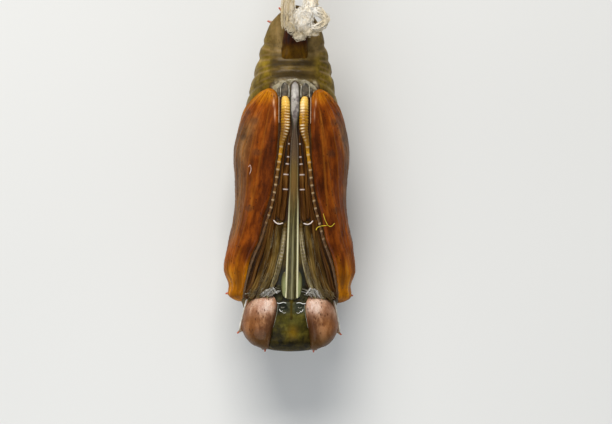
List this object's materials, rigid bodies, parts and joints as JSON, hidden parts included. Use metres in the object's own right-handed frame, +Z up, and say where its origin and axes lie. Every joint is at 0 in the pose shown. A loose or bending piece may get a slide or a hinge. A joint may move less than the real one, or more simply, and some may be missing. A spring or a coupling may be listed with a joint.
{
  "type": "butterfly chrysalis",
  "caption": "Butterfly chrysalis close to hatching, with wing cases, antennae, legs and eyes showing on its belly, paired spikes along its back and a tuft of white silk at its tail.",
  "frame": {"origin": "on the surface that the chrysalis lies on, under the middle of its bounding box", "axes": "+Y from the head to the tail and the silk, +Z up, out of the belly, +X across"},
  "size_m": [0.0066, 0.0182, 0.0061],
  "materials": {
    "cuticle": "thin clear glossy skin over orange wings, pink-brown eyes, yellow antennal clubs and an olive body",
    "silk": "matted off-white silk threads"
  },
  "bodies": {
    "root": {"chrysalis": "cuticle", "silk_tuft": "silk"}
  },
  "joints": []
}
